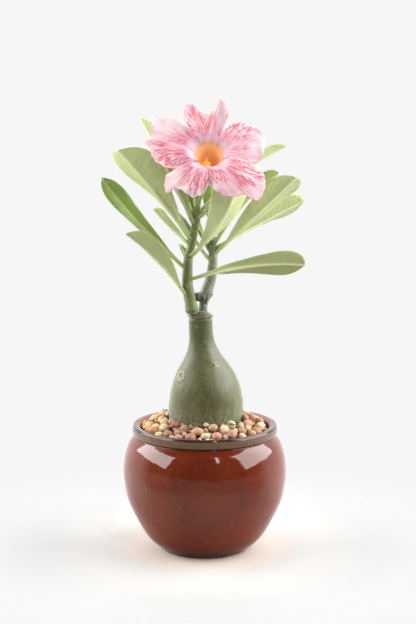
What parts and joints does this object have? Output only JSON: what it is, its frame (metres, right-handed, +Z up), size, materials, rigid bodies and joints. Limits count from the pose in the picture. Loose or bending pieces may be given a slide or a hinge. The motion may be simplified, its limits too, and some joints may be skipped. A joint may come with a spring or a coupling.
{
  "type": "potted desert rose",
  "caption": "Desert rose with a swollen trunk, leafy stems and a pink funnel-shaped bloom, growing through pebbles in a round red-brown glazed pot.",
  "frame": {"origin": "on the surface that the pot stands on, at the middle of the pot's foot", "axes": "+Z up along the pot's axis; -Y is the side that the bloom faces; +X is to the right seen from there"},
  "size_m": [0.1275, 0.1028, 0.2811],
  "materials": {
    "glaze": "glossy red-brown glaze, matte brown lip",
    "soil": "dark gritty potting mix",
    "pebbles": "rounded mixed cream, tan, salmon and mauve pebbles",
    "trunk_bark": "smooth grey-green bark with fine upright streaks",
    "stem_bark": "smooth green bark with leaf scars",
    "leaf": "satin leathery leaf, pale beneath",
    "petal": "matte velvety petal",
    "anther": "matte yellow",
    "sepal": "satin green"
  },
  "bodies": {
    "root": {"pot": "glaze", "potting_soil": "soil", "gravel": "pebbles", "caudex": "trunk_bark", "stem_left": "stem_bark", "stem_right": "stem_bark", "leaf_01": "leaf", "leaf_02": "leaf", "leaf_03": "leaf", "leaf_04": "leaf", "leaf_05": "leaf", "leaf_06": "leaf", "leaf_07": "leaf", "leaf_08": "leaf", "leaf_09": "leaf", "leaf_10": "leaf", "leaf_11": "leaf", "leaf_12": "leaf", "leaf_13": "leaf", "leaf_14": "leaf", "leaf_15": "leaf", "leaf_16": "leaf", "leaf_17": "leaf", "leaf_18": "leaf", "corolla": "petal", "stamens": "anther", "calyx": "sepal"}
  },
  "joints": []
}
